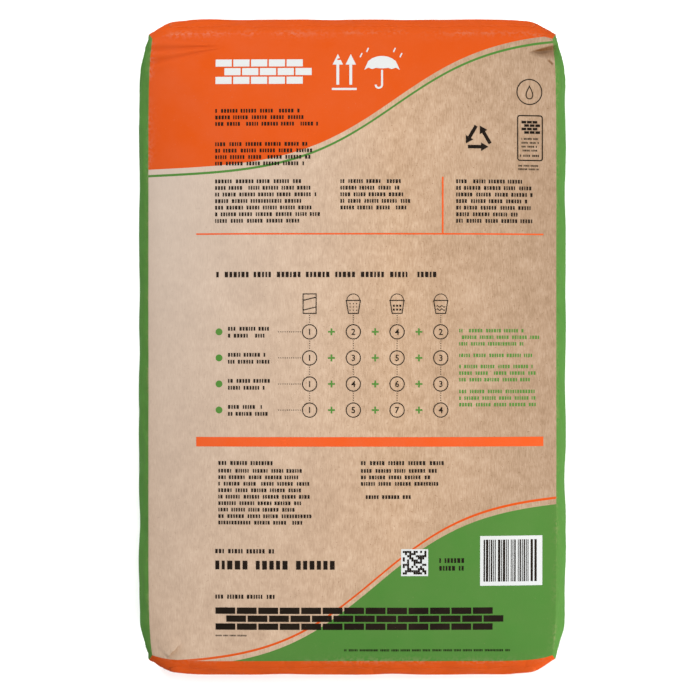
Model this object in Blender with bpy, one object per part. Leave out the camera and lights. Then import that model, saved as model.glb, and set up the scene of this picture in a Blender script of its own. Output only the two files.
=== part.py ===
"""A filled 40 kg paper valve sack of cement, in metres, lying on its front with its back face up.

The sack is a kraft paper tube whose two ends are folded square and pasted shut. A cover patch is
pasted over each end, and a flattened paper sleeve in one corner of the top end is the filling valve.
+X runs across the sack, +Y along it towards the top end, +Z up. The origin is on the floor under
the middle of the sack.
"""

import math

import bmesh
import bpy
from mathutils import Vector

# The filled sack as it lies.
LENGTH = 0.620
WIDTH = 0.403
THICKNESS = 0.125

# The rectangle of creases round the back face, which the swollen sides and ends stand out from.
SIDE_BULGE = 0.0114
END_BULGE = 0.0165
TOP_CREASE_HEIGHT = 0.104
BOTTOM_CREASE_HEIGHT = 0.012

# How the creases draw in and drop towards the four corners.
CORNER_DRAW_IN = 0.003
CORNER_DROP = 0.004
DRAW_IN_POWER = 12

# The sides and ends are flat at the corners, and swell to within a third of their bulge this far from them.
SIDE_SWELL_REACH = 0.0186
END_SWELL_REACH = 0.0133
SWELL_POWER = 2.2

# The back face is crowned, more evenly across than along. The front lies flat on the floor inside its rims.
CROWN_POWER_ACROSS = 3
CROWN_POWER_ALONG = 5
FLOOR_SHARE = 0.78

# Paper: the wall is three plies, and a patch or a sleeve is pasted or slid against it.
WALL = 0.0005
CLEARANCE = 0.0004
SLEEVE_CLEARANCE = 0.0006
PATCH_THICKNESS = 0.0005
SLEEVE_THICKNESS = 0.0016
SLEEVE_WALL = 0.0005
SLEEVE_LENGTH = 0.130
SLEEVE_LIP = 0.0015
VALVE_MOUTH = 0.004

# The sleeve is narrower than its mouth by this share of the skin's strip next to each end of the mouth.
SLEEVE_MARGIN = 0.1

# How many panel strips the skin has across, along and up the sack, and how they crowd to the creases.
STRIPS_ACROSS = 12
STRIPS_ALONG = 16
STRIPS_UP = 6
CROWDING = 0.78

# How close two shares must be to count as the same line of the skin.
NEARLY = 0.0001

PATCH_STACK = CLEARANCE + PATCH_THICKNESS
HALF_WIDTH = WIDTH / 2 - SIDE_BULGE
HALF_LENGTH = LENGTH / 2 - PATCH_STACK - END_BULGE
CROWN = THICKNESS - TOP_CREASE_HEIGHT
MOUTH_LINE = 1 - VALVE_MOUTH / HALF_LENGTH
SLEEVE_LINE = 1 - SLEEVE_LENGTH / HALF_WIDTH

# Each finish is a linear colour and a roughness.
KRAFT_PAPER = ((0.60, 0.40, 0.25, 1), 0.85)
ORANGE_PRINT = ((0.87, 0.13, 0.025, 1), 0.7)
VALVE_PAPER = ((0.72, 0.56, 0.38, 1), 0.8)
CEMENT_POWDER = ((0.33, 0.33, 0.31, 1), 0.95)

# Edges of the skin that fold more than this are shaded as creases.
CREASE_ANGLE = math.radians(35)


def clear_scene():
    for obj in list(bpy.data.objects):
        bpy.data.objects.remove(obj)


def crowded_lines(count):
    """Shares from -1 to 1 that lie closer together towards both ends."""
    limit = CROWDING * math.pi / 2
    steps = [-1 + 2 * i / count for i in range(count + 1)]
    return [math.sin(limit * step) / math.sin(limit) for step in steps]


LINES_ACROSS = crowded_lines(STRIPS_ACROSS)
LINES_ALONG = crowded_lines(STRIPS_ALONG)
LINES_UP = crowded_lines(STRIPS_UP)


def rim_rise(share):
    """How far up its rim the front face is, from 0 where it lies on the floor to 1 at its crease."""
    beyond = max(0.0, abs(share) - FLOOR_SHARE) / (1 - FLOOR_SHARE)
    return beyond**2


def panel_height(across, along, up):
    corner = (abs(across) * abs(along)) ** DRAW_IN_POWER
    top_crease = TOP_CREASE_HEIGHT - CORNER_DROP * corner
    if up >= 1:
        crown_across = 1 - abs(across) ** CROWN_POWER_ACROSS
        crown_along = 1 - abs(along) ** CROWN_POWER_ALONG
        return top_crease + CROWN * crown_across * crown_along
    if up <= -1:
        flat = (1 - rim_rise(across)) * (1 - rim_rise(along))
        return BOTTOM_CREASE_HEIGHT * (1 - flat)
    share = (up + 1) / 2
    return BOTTOM_CREASE_HEIGHT + (top_crease - BOTTOM_CREASE_HEIGHT) * share


def swell(corner_distance, reach):
    """The share of its full bulge that a panel has at this distance from the sack's corners."""
    return 1 - math.exp(-corner_distance / reach)


def sack_point(across, along, up):
    """The point of the paper's outer surface whose shares of the half sizes are these."""
    half_width = HALF_WIDTH - CORNER_DRAW_IN * abs(along) ** DRAW_IN_POWER
    half_length = HALF_LENGTH - CORNER_DRAW_IN * abs(across) ** DRAW_IN_POWER
    side_swell = swell((1 - abs(along)) * HALF_LENGTH, SIDE_SWELL_REACH)
    end_swell = swell((1 - abs(across)) * HALF_WIDTH, END_SWELL_REACH)
    roundness = 1 - abs(up) ** SWELL_POWER
    x = across * (half_width + SIDE_BULGE * side_swell * roundness)
    y = along * (half_length + END_BULGE * end_swell * roundness)
    return Vector((x, y, panel_height(across, along, up)))


def cut_along(cage, axis, share):
    """Cuts the cage square to one axis, so that its faces get an edge at that share."""
    point = Vector((0, 0, 0))
    point[axis] = share
    normal = Vector((0, 0, 0))
    normal[axis] = 1
    everything = cage.verts[:] + cage.edges[:] + cage.faces[:]
    bmesh.ops.bisect_plane(cage, geom=everything, plane_co=point, plane_no=normal, dist=1e-6)


def sack_skin(keep=lambda centre: True):
    """The paper's outer surface as a bmesh of strips, holding only the faces whose middle keep accepts.

    Its layer "shares" holds each point's shares of the half sizes, which tell where on the sack it is.
    """
    cage = bmesh.new()
    bmesh.ops.create_cube(cage, size=2)
    cuts = (LINES_ACROSS + [SLEEVE_LINE], LINES_ALONG + [MOUTH_LINE], LINES_UP)
    for axis, shares in enumerate(cuts):
        for share in shares:
            if abs(share) < 1:
                cut_along(cage, axis, share)
    unwanted = [face for face in cage.faces if not keep(face.calc_center_median())]
    bmesh.ops.delete(cage, geom=unwanted, context="FACES")
    shares = cage.verts.layers.float_vector.new("shares")
    for vert in cage.verts:
        vert[shares] = vert.co
        vert.co = sack_point(*vert.co)
    bmesh.ops.recalc_face_normals(cage, faces=cage.faces[:])
    cage.normal_update()
    return cage


def offset(skin, distance):
    """Moves the whole skin outwards by an even distance, or inwards by a negative one."""
    steps = [vert.normal * vert.calc_shell_factor() * distance for vert in skin.verts]
    for vert, step in zip(skin.verts, steps):
        vert.co += step
    skin.normal_update()


def material(name, finish):
    colour, roughness = finish
    made = bpy.data.materials.new(name)
    made.use_nodes = True
    shader = made.node_tree.nodes["Principled BSDF"]
    shader.inputs["Base Color"].default_value = colour
    shader.inputs["Roughness"].default_value = roughness
    shader.inputs["Metallic"].default_value = 0
    made.diffuse_color = colour
    return made


def add_object(name, skin, finish):
    mesh = bpy.data.meshes.new(name)
    skin.to_mesh(mesh)
    skin.free()
    mesh.materials.append(material(name + " material", finish))
    mesh.shade_smooth()
    mesh.set_sharp_from_angle(angle=CREASE_ANGLE)
    obj = bpy.data.objects.new(name, mesh)
    bpy.context.scene.collection.objects.link(obj)
    return obj


def thicken(obj, thickness, side):
    """Gives a sheet its thickness: side -1 grows it inwards from the sheet, and 1 outwards."""
    wall = obj.modifiers.new("paper thickness", "SOLIDIFY")
    wall.thickness = thickness
    wall.offset = side
    wall.use_even_offset = True


def is_below_end_folds(place):
    """True clear of the strips next to the two creases of an end."""
    return abs(place.z) < LINES_UP[-2] + NEARLY


def is_under_sleeve(place):
    """True on the stretch of the top end that the valve sleeve lies under."""
    return place.y > 1 - NEARLY and place.x > SLEEVE_LINE - NEARLY and is_below_end_folds(place)


def is_valve_mouth(centre):
    """The slot in the right side, next to the top end, that the valve sleeve comes out of."""
    return centre.x > 1 - NEARLY and centre.y > MOUTH_LINE and is_below_end_folds(centre)


def make_paper_sack():
    skin = sack_skin(lambda centre: not is_valve_mouth(centre))
    thicken(add_object("paper_sack", skin, KRAFT_PAPER), WALL, -1)


def make_cement_fill():
    """The powder fills the sack, apart from a shallow bed for the valve sleeve under the top end."""
    skin = sack_skin()
    offset(skin, -(WALL + CLEARANCE))
    shares = skin.verts.layers.float_vector["shares"]
    for vert in skin.verts:
        if is_under_sleeve(vert[shares]):
            vert.co.y -= SLEEVE_THICKNESS + 2 * SLEEVE_CLEARANCE
    add_object("cement_fill", skin, CEMENT_POWDER)


def make_end_patch(name, end):
    """The cover sheet pasted over the folded end: end is 1 for the top of the sack, -1 for its bottom."""
    edge = LINES_ACROSS[-2]
    skin = sack_skin(
        lambda centre: centre.y * end > 1 - NEARLY and abs(centre.x) < edge and is_below_end_folds(centre)
    )
    turn_outwards(skin, Vector((0, end, 0)))
    offset(skin, CLEARANCE)
    thicken(add_object(name, skin, ORANGE_PRINT), PATCH_THICKNESS, 1)


def turn_outwards(sheet, outwards):
    """Makes the faces of an open sheet point outwards, because an open sheet has no outside of its own."""
    wrong = [face for face in sheet.faces if face.normal.dot(outwards) < 0]
    bmesh.ops.reverse_faces(sheet, faces=wrong)
    sheet.normal_update()


def make_valve_sleeve():
    """A flattened paper tube under the top end, from inside the sack out through the valve mouth."""
    outer = sack_skin(is_under_sleeve)
    turn_outwards(outer, Vector((0, 1, 0)))
    shares = outer.verts.layers.float_vector["shares"]
    for vert in outer.verts:
        across, along, up = vert[shares]
        if abs(up) > LINES_UP[-2] - NEARLY:
            next_line = sack_point(across, along, math.copysign(LINES_UP[-3], up))
            vert.co = vert.co.lerp(next_line, SLEEVE_MARGIN)
    lip_edges = [edge for edge in outer.edges if all(vert[shares].x > 1 - NEARLY for vert in edge.verts)]
    grown = bmesh.ops.extrude_edge_only(outer, edges=lip_edges)["geom"]
    for vert in (item for item in grown if isinstance(item, bmesh.types.BMVert)):
        vert.co.x += SLEEVE_LIP
    turn_outwards(outer, Vector((0, 1, 0)))
    offset(outer, -(WALL + SLEEVE_CLEARANCE))
    long_edges = [edge for edge in outer.edges if edge.is_boundary and runs_across(edge)]
    inner = bmesh.ops.duplicate(outer, geom=outer.faces[:] + outer.edges[:] + outer.verts[:])
    for vert in (item for item in inner["geom"] if isinstance(item, bmesh.types.BMVert)):
        vert.co -= vert.normal * vert.calc_shell_factor() * SLEEVE_THICKNESS
    bmesh.ops.reverse_faces(outer, faces=[f for f in inner["geom"] if isinstance(f, bmesh.types.BMFace)])
    for edge in long_edges:
        partner = inner["edge_map"][edge]
        bmesh.ops.contextual_create(outer, geom=list(edge.verts) + list(partner.verts))
    bmesh.ops.recalc_face_normals(outer, faces=outer.faces[:])
    outer.normal_update()
    thicken(add_object("valve_sleeve", outer, VALVE_PAPER), SLEEVE_WALL, -1)


def runs_across(edge):
    """True for an edge that runs along the sleeve and not up its end."""
    start, end = (vert.co for vert in edge.verts)
    return abs(start.x - end.x) > abs(start.z - end.z)


clear_scene()
make_paper_sack()
make_cement_fill()
make_end_patch("top_end_patch", 1)
make_end_patch("bottom_end_patch", -1)
make_valve_sleeve()
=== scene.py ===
"""A filled 40 kg paper valve sack of cement, lying on its front, with its printed back face up."""

import math
import random

import bmesh
import bpy
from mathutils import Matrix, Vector, noise
from mathutils.bvhtree import BVHTree
from mathutils.interpolate import poly_3d_calc


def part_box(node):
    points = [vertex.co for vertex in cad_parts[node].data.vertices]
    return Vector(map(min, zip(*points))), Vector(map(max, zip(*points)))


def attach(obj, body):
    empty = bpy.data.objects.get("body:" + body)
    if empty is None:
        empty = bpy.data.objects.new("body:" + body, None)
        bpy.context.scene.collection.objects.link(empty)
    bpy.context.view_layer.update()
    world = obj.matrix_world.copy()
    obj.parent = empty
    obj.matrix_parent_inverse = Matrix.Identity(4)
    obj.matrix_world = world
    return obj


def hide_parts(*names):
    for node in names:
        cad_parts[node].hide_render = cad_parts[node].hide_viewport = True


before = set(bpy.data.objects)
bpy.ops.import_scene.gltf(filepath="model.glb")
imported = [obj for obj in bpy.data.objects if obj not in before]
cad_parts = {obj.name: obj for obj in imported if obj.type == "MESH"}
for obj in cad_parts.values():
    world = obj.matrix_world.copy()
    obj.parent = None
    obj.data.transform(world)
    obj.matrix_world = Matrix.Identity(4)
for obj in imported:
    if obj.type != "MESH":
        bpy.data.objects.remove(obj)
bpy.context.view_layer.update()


# The paper sack
# Three plies of kraft paper, pasted into a tube, folded square and pasted shut at both ends, and pressed
# out tight by the powder inside. Its back face is crowned, its sides and ends swell between creases that
# stay straight, and its front lies flat on the floor.

MM = 0.001
LOW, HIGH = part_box("paper_sack")
SIDE_BULGE = 11.4 * MM
END_BULGE = 16.5 * MM
HALF_WIDTH = HIGH.x - SIDE_BULGE
HALF_LENGTH = HIGH.y - END_BULGE
TOP_CREASE = 104 * MM
BOTTOM_CREASE = 12 * MM
MIDDLE_HEIGHT = (TOP_CREASE + BOTTOM_CREASE) / 2
HALF_HEIGHT = (TOP_CREASE - BOTTOM_CREASE) / 2
CROWN = HIGH.z - TOP_CREASE
CORNER_DRAW_IN = (3.4 * MM, 5.3 * MM)
CORNER_DROP = 4 * MM
DRAW_IN_POWER = 12
DRAW_IN_UP_POWER = 6
CROWN_POWERS = (3, 5)
SIDE_SWELL = (29 * MM, 98 * MM)
END_SWELL = (19 * MM, 56 * MM)
KNEE_SHARE = 0.86
CORNER_SWELL = 1.9 * MM
END_SLACK = 0.45 * MM
SWELL_POWER = 2.2
FLOOR_SHARE = 0.78
PAPER_WALL = 0.5 * MM
STRIPS = (44, 72, 14)
CROWDING = 0.93
MOUTH_WIDTH = 4 * MM
MOUTH_SHARE = 0.78
ON_PANEL = 0.9999


def crowded_lines(strips, crowding=CROWDING):
    """Shares from -1 to 1 that lie closer together towards the creases."""
    limit = crowding * math.pi / 2
    steps = [-1 + 2 * i / strips for i in range(strips + 1)]
    return [math.sin(limit * step) / math.sin(limit) for step in steps]


def join_rows(mesh, rows):
    """Fills the quads between neighbouring rows of points."""
    for low, high in zip(rows, rows[1:]):
        for corners in zip(low, low[1:], high[1:], high):
            mesh.faces.new(corners).smooth = True


def cut_cube(lines):
    """The surface of the cube from -1 to 1, as quads between the given lines of each axis."""
    cube = bmesh.new()
    for axis in range(3):
        first, second = [other for other in range(3) if other != axis]
        for side in (-1, 1):
            rows = []
            for one in lines[first]:
                row = []
                for two in lines[second]:
                    place = Vector((side, side, side))
                    place[first] = one
                    place[second] = two
                    row.append(cube.verts.new(place))
                rows.append(row)
            join_rows(cube, rows)
    bmesh.ops.remove_doubles(cube, verts=cube.verts[:], dist=1e-6)
    bmesh.ops.recalc_face_normals(cube, faces=cube.faces[:])
    return cube


def panel_height(across, along, up):
    corner = (abs(across) * abs(along)) ** DRAW_IN_POWER
    top = TOP_CREASE - CORNER_DROP * corner
    if up >= 1:
        return top + CROWN * (1 - abs(across) ** CROWN_POWERS[0]) * (1 - abs(along) ** CROWN_POWERS[1])
    if up <= -1:
        rises = [max(0.0, abs(share) - FLOOR_SHARE) / (1 - FLOOR_SHARE) for share in (across, along)]
        return BOTTOM_CREASE * (1 - (1 - rises[0] ** 2) * (1 - rises[1] ** 2))
    return BOTTOM_CREASE + (top - BOTTOM_CREASE) * (up + 1) / 2


def swell(from_corner, knee, full):
    """The share of a panel's swell this far from its corner: a straight chamfer, then a slow curve."""
    if from_corner < knee:
        return KNEE_SHARE * from_corner / knee
    run = min(1.0, (from_corner - knee) / (full - knee))
    return KNEE_SHARE + (1 - KNEE_SHARE) * run * (2 - run)


def sack_point(across, along, up):
    """The point of the paper's outer surface whose shares of the half sizes are these."""
    half_width = HALF_WIDTH - CORNER_DRAW_IN[0] * abs(along) ** DRAW_IN_POWER * abs(up) ** DRAW_IN_UP_POWER
    half_length = HALF_LENGTH - CORNER_DRAW_IN[1] * abs(across) ** DRAW_IN_POWER * abs(up) ** DRAW_IN_UP_POWER
    side_swell = swell((1 - abs(along)) * HALF_LENGTH, *SIDE_SWELL)
    end_swell = swell((1 - abs(across)) * HALF_WIDTH, *END_SWELL)
    roundness = 1 - abs(up) ** SWELL_POWER
    side_bulge = CORNER_SWELL + (SIDE_BULGE - CORNER_SWELL) * side_swell
    end_bulge = CORNER_SWELL + (END_BULGE - END_SLACK - CORNER_SWELL) * end_swell
    x = across * (half_width + side_bulge * roundness)
    y = along * (half_length + end_bulge * roundness)
    return Vector((x, y, panel_height(across, along, up)))


def crease_distance(shares):
    """How far a point of the cut cube lies from the sack's nearest crease."""
    halves = (HALF_WIDTH, HALF_LENGTH, HALF_HEIGHT)
    distances = sorted((1 - abs(share)) * half for share, half in zip(shares, halves))
    return distances[1]


def put_in_scene(name, data):
    obj = bpy.data.objects.new(name, data)
    bpy.context.scene.collection.objects.link(obj)
    return obj


def made_object(name, edited):
    """Puts an edited mesh in the scene as an object, and lets go of the edited one."""
    mesh = bpy.data.meshes.new(name)
    edited.to_mesh(mesh)
    edited.free()
    return put_in_scene(name, mesh)


def settle(obj):
    """Makes the modifiers' result the object's own plain mesh."""
    graph = bpy.context.evaluated_depsgraph_get()
    mesh = bpy.data.meshes.new_from_object(obj.evaluated_get(graph), depsgraph=graph)
    obj.modifiers.clear()
    obj.data = mesh
    mesh.name = obj.name


def round_creases(obj):
    rounding = obj.modifiers.new("rounded creases", "SUBSURF")
    rounding.levels = 1
    rounding.render_levels = 1
    settle(obj)


def bell(value, middle, reach):
    return math.exp(-(((value - middle) / reach) ** 2))


def eased(share):
    """A smooth step from 0 to 1."""
    share = min(1.0, max(0.0, share))
    return share * share * (3 - 2 * share)


def waves(x, y, size, seed):
    """Smooth noise from about -1 to 1, with bumps of this size."""
    return noise.noise(Vector((x / size, y / size, seed)))


# How the paper lies on the powder. It was cut a little larger than the block of powder inside, which presses
# it out and holds it, so a short cloth simulation of a plainer sack finds how its panels buckle.
SLACK_STRIPS = (40, 62, 12)
SLACK_CROWDING = 0.45
PAPER_STIFFNESS = (("tension", 60, 15), ("compression", 60, 15), ("shear", 30, 15), ("bending", 60, 5))
PAPER_EXCESS = 0.022
POWDER_PRESSURE = 4.0
POWDER_HOLD = 0.42
CREASE_HOLD = 0.9
CREASE_HOLD_REACH = 6 * MM
UNEVENNESS = ((0.4, 38 * MM), (0.2, 17 * MM))
START_INSET = 1.0 * MM
BUCKLE_CAP = 3.0 * MM
BUCKLE_FRAMES = 22
SMOOTHINGS = 3
BACK_SHARE = 0.22
SIDE_SHARE = 0.6
WIDEST_SHARE = 0.3
WIDEST_REACH = 0.5
STILL_CREASE = 12 * MM


def buckled_paper():
    """The cube of a plainer sack, and how far a simulation moves each of its points."""
    cube = cut_cube([crowded_lines(strips, SLACK_CROWDING) for strips in SLACK_STRIPS])
    shell = cube.copy()
    for vert in shell.verts:
        vert.co = sack_point(*vert.co)
    shell.normal_update()
    for vert in shell.verts:
        unevenness = sum(height * noise.noise(vert.co / size) for height, size in UNEVENNESS)
        vert.co += vert.normal * (unevenness * MM - START_INSET)
    paper = made_object("paper_in_simulation", shell)
    held = paper.vertex_groups.new(name="held")
    for vert in cube.verts:
        near = math.exp(-crease_distance(vert.co) / CREASE_HOLD_REACH)
        held.add([vert.index], POWDER_HOLD + (CREASE_HOLD - POWDER_HOLD) * near, "REPLACE")
    cloth = paper.modifiers.new("paper", "CLOTH")
    for strain, stiffness, damping in PAPER_STIFFNESS:
        setattr(cloth.settings, strain + "_stiffness", stiffness)
        setattr(cloth.settings, strain + "_damping", damping)
    cloth.settings.quality = 8
    cloth.settings.mass = 0.3
    cloth.settings.air_damping = 3
    cloth.settings.shrink_min = -PAPER_EXCESS
    cloth.settings.use_pressure = True
    cloth.settings.uniform_pressure_force = POWDER_PRESSURE
    cloth.settings.vertex_group_mass = "held"
    cloth.settings.effector_weights.gravity = 0
    cloth.collision_settings.use_collision = False
    for step in range(1, BUCKLE_FRAMES + 1):
        bpy.context.scene.frame_set(step)
    done = paper.evaluated_get(bpy.context.evaluated_depsgraph_get()).data
    moves = [end.co - sack_point(*vert.co) for vert, end in zip(cube.verts, done.vertices)]
    bpy.context.scene.frame_set(1)
    bpy.data.objects.remove(paper)
    for _ in range(SMOOTHINGS):
        beside = [[edge.other_vert(vert).index for edge in vert.link_edges] for vert in cube.verts]
        moves = [
            (moves[i] + sum((moves[j] for j in ring), Vector()) / len(ring)) / 2
            for i, ring in enumerate(beside)
        ]
    for move in moves:
        if move.length > BUCKLE_CAP:
            move.length = BUCKLE_CAP
    return cube, moves


slack_cube, slack_moves = buckled_paper()
slack_cube.faces.ensure_lookup_table()
slack_faces = BVHTree.FromBMesh(slack_cube)


def buckle(shares):
    """How far the simulation moved the paper at these shares. The back face is pulled the tightest, and the
    widest line of the sides and ends comes next."""
    spot, _, index, _ = slack_faces.find_nearest(shares)
    corners = slack_cube.faces[index].verts
    weights = poly_3d_calc([corner.co for corner in corners], spot)
    move = sum((slack_moves[corner.index] * weight for corner, weight in zip(corners, weights)), Vector())
    if shares.z > ON_PANEL:
        move *= BACK_SHARE
    else:
        move *= WIDEST_SHARE + (SIDE_SHARE - WIDEST_SHARE) * eased(abs(shares.z) / WIDEST_REACH)
    return move * eased(crease_distance(shares) / STILL_CREASE)


# The folds that show in the back face, in millimetres from the sack's middle: a fan beside the top left
# corner, a tuck with a short nick below it over the valve, and a flat fold across the bottom left corner.
FOLDS_ABOVE = 60
FAN_POINT = (-111, 280)
FAN_SPREAD = 0.17
FAN_FIRST_RIDGE = 0.119
FAN_MIDDLE = (0.1, 0.17)
FAN_GROWS_OVER = 28
FAN_HEIGHT = 1.0
TUCK_APEX = (160, 273.3)
TUCK_LENGTH = 27
TUCK_HALF_OPENING = 7.6
TUCK_SHARP_END = 0.15
TUCK_DEPTH = 6.0
TUCK_WALL = 0.16
TUCK_SLOPE = 1.5
TUCK_RIDGES = ((0.10, 1.15, 0.3), (0.05, -1.3, 0.3))
NOTCH = ((181.5, 268.0), (186.5, 263.6))
NOTCH_DEPTH = 2.4
NOTCH_WIDTH = 0.9
FOLD_END = (-163.3, -279.7)
FOLD_LENGTH = 10
FOLD_HEIGHT = 2.2
FOLD_SLOPES = (8, 1.5)


def fan(x, y):
    """Soft folds that fan out from one point to the left crease, beside the top left corner."""
    left = FAN_POINT[0] - x
    if left <= 1:
        return 0.0
    slope = (FAN_POINT[1] - y) / left
    folds = math.cos(2 * math.pi * (slope - FAN_FIRST_RIDGE) / FAN_SPREAD)
    return FAN_HEIGHT * folds * bell(slope, *FAN_MIDDLE) * eased(left / FAN_GROWS_OVER)


def in_tuck(x, y):
    """How far along the tuck a point is, from 0 at its apex, and how far across, from -1 to 1."""
    run = (x - TUCK_APEX[0]) / TUCK_LENGTH
    return run, (TUCK_APEX[1] - y) / (TUCK_HALF_OPENING * max(run, TUCK_SHARP_END))


def tuck(x, y):
    """The dent over the folded valve corner: a wedge that opens towards the right crease."""
    run, share = in_tuck(x, y)
    if run <= 0:
        return 0.0
    dent = 0.0
    if share < 1:
        dent = -eased((share + 1) / TUCK_WALL) * eased((1 - share) / TUCK_SLOPE)
    ridge = sum(height * bell(share, middle, reach) for height, middle, reach in TUCK_RIDGES)
    return TUCK_DEPTH * eased(run * 1.3) * (dent + ridge)


def notch(x, y):
    """A short sharp nick in the crease's edge below the tuck."""
    start, end = Vector(NOTCH[0]), Vector(NOTCH[1])
    along = (end - start).normalized()
    run = (Vector((x, y)) - start).dot(along) / (end - start).length
    off = (Vector((x, y)) - start).cross(along)
    return -NOTCH_DEPTH * eased(run * 3) * eased((1.2 - run) * 3) * bell(off, 0, NOTCH_WIDTH)


def past_fold(x, y):
    """How far a point is past the corner fold's ridge, and how much of the fold there is at its place."""
    beyond = ((x - FOLD_END[0]) - (y - FOLD_END[1])) / math.sqrt(2)
    along = (-(x - FOLD_END[0]) - (y - FOLD_END[1])) / math.sqrt(2)
    return beyond, eased((along + 9) / 13) * eased((FOLD_LENGTH + 4 - along) / 4)


def corner_fold(x, y):
    """A small flat fold across the bottom left corner, steep on the side towards the middle."""
    beyond, amount = past_fold(x, y)
    slope = beyond / FOLD_SLOPES[0] if beyond < 0 else -beyond / FOLD_SLOPES[1]
    return FOLD_HEIGHT * amount * math.exp(slope)


# At most, 0 to 1, how far each mark darkens the paper: painted shade in folds and by sides, floor dirt.
SHADE_AND_FLOOR_MARKS = {
    "tuck edge": 0.8,
    "tuck floor": 0.45,
    "nick": 0.9,
    "fold": 0.6,
    "fan": 0.2,
    "side": 0.13,
    "floor": 0.45,
}
FOLD_SHADE_REACH = 5
SIDE_SHADE_REACH = 11
FLOOR_GRIME_REACH = 16
FLOOR_PATCH = 45


def grime(x, y, to_side):
    """How much painted shade darkens the back face here: in its folds, and along the sides."""
    run, share = in_tuck(x, y)
    shade_and_marks = SHADE_AND_FLOOR_MARKS["tuck edge"] * bell(share, -0.85, 0.28)
    shade_and_marks += SHADE_AND_FLOOR_MARKS["tuck floor"] * eased((share + 1.1) / 0.15) * eased((1.0 - share) / 1.2)
    shade_and_marks = shade_and_marks * eased(run * 1.5) - SHADE_AND_FLOOR_MARKS["nick"] * notch(x, y) / NOTCH_DEPTH
    beyond, amount = past_fold(x, y)
    if beyond > 0:
        shade_and_marks += SHADE_AND_FLOOR_MARKS["fold"] * amount * math.exp(-beyond / FOLD_SHADE_REACH)
    shade_and_marks += SHADE_AND_FLOOR_MARKS["fan"] * max(0.0, -fan(x, y)) / FAN_HEIGHT
    return min(1.0, shade_and_marks + SHADE_AND_FLOOR_MARKS["side"] * math.exp(-to_side / SIDE_SHADE_REACH))


def floor_grime(x, y, z):
    """How much the floor has marked the lower edges, in patches."""
    marked = eased(0.5 + 2 * waves(x + z, y, FLOOR_PATCH, 41))
    return SHADE_AND_FLOOR_MARKS["floor"] * math.exp(-z / FLOOR_GRIME_REACH) * marked


# The relief of the whole skin, in millimetres. The back face is nearly smooth. The sides and the ends have
# sharp puckers along their creases and folds that spread from their corners, most of all below their widest
# line, and the ends show the steps of their pasted flaps. Each row below is a height, then how far it reaches
# or how large its bumps are.
SHOULDER_AT_SIDE = (2.0, 8)
SHOULDER_AT_END = (1.3, 7)
BACK_WAVES = ((0.5, 85), (0.13, 28))
BACK_CORNER = (0.6, 38, 24)
BACK_AT_END = (0.30, 15, 19)
BACK_AT_SIDE = (0.28, 13, 23)
BACK_EDGE_LENGTH = 80
PANEL_MIDDLE = MIDDLE_HEIGHT / MM
PANEL_WAVES = ((2.2, 55, 40), (0.9, 20, 30))
RIDGE_SHARPNESS = 4.5
PUCKER = 3.2
PUCKER_FADES = 16
PUCKER_STARTS = 8
PUCKER_SIZE = (26, 60)
SPREAD = 4.0
SPREAD_FADES = 55
SPREAD_STARTS = 14
SPREAD_TURNS = 2.6
SPREAD_SIZE = 110
WIDEST_KEEPS = 0.04
WIDEST_BAND = (4, 18)
UPPER_SHARE = 0.5
UPPER_AT_CORNER = 0.4
UPPER_CORNER = (15, 25)
HELD_BACK = 0.95
EDGE_DENT = 5
EDGE_DENT_SIZE = 27
EDGE_DENT_REACH = 9
MOUTH_STIFFENS = 0.3
FLAP_STEP = 0.45
FLAP_OVERLAP = 8


def shoulder(to_side, to_end):
    """How far the paper sinks where it rolls over the creases of the back face."""
    sides = SHOULDER_AT_SIDE[0] * math.exp(-to_side / SHOULDER_AT_SIDE[1])
    return sides + SHOULDER_AT_END[0] * math.exp(-to_end / SHOULDER_AT_END[1])


def back_relief(x, y, to_side, to_end):
    """How far the back face stands off its smooth crown."""
    height = sum(most * waves(x, y, size, 1 + i) for i, (most, size) in enumerate(BACK_WAVES))
    most, reach, size = BACK_CORNER
    corner = math.exp(-math.hypot(to_side, to_end) / reach)
    height += most * corner * (0.4 - 1.6 * abs(waves(x, y, size, 3)))
    most, reach, size = BACK_AT_END
    height += most * math.exp(-to_end / reach) * waves(x / size, y / BACK_EDGE_LENGTH, 1, 5)
    most, reach, size = BACK_AT_SIDE
    return height + most * math.exp(-to_side / reach) * waves(x / BACK_EDGE_LENGTH, y / size, 1, 9)


def creased(x, y, seed):
    """Paper's sharp ridges, 1 on a ridge and mostly 0 to -0.6 in the flatter hollows between."""
    return 1 - RIDGE_SHARPNESS * abs(waves(x, y, 1, seed))


def puckers(run, to_crease, seed):
    """Short folds that a swelling panel draws up beside a crease, square to it."""
    amount = PUCKER * math.exp(-to_crease / PUCKER_FADES) * eased(to_crease / PUCKER_STARTS)
    return amount * creased(run / PUCKER_SIZE[0], to_crease / PUCKER_SIZE[1], seed)


def corner_folds(run, to_crease, seed):
    """Folds that spread into a panel from its corner, where three creases meet."""
    away = math.hypot(run, to_crease)
    turn = math.atan2(to_crease, run + 1e-6)
    amount = SPREAD * math.exp(-away / SPREAD_FADES) * eased(away / SPREAD_STARTS)
    return amount * creased(turn * SPREAD_TURNS, away / SPREAD_SIZE, seed)


def liveliness(z, to_edge):
    """How much of its relief a side or an end has: most below its widest line, where the load sits, less
    above it and hardly any on the line itself."""
    off = z - PANEL_MIDDLE
    from_corner = eased((to_edge - UPPER_CORNER[0]) / UPPER_CORNER[1])
    upper = UPPER_SHARE * (UPPER_AT_CORNER + (1 - UPPER_AT_CORNER) * from_corner)
    most = upper if off > 0 else 1.0
    return WIDEST_KEEPS + (most - WIDEST_KEEPS) * eased((abs(off) - WIDEST_BAND[0]) / WIDEST_BAND[1])


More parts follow.
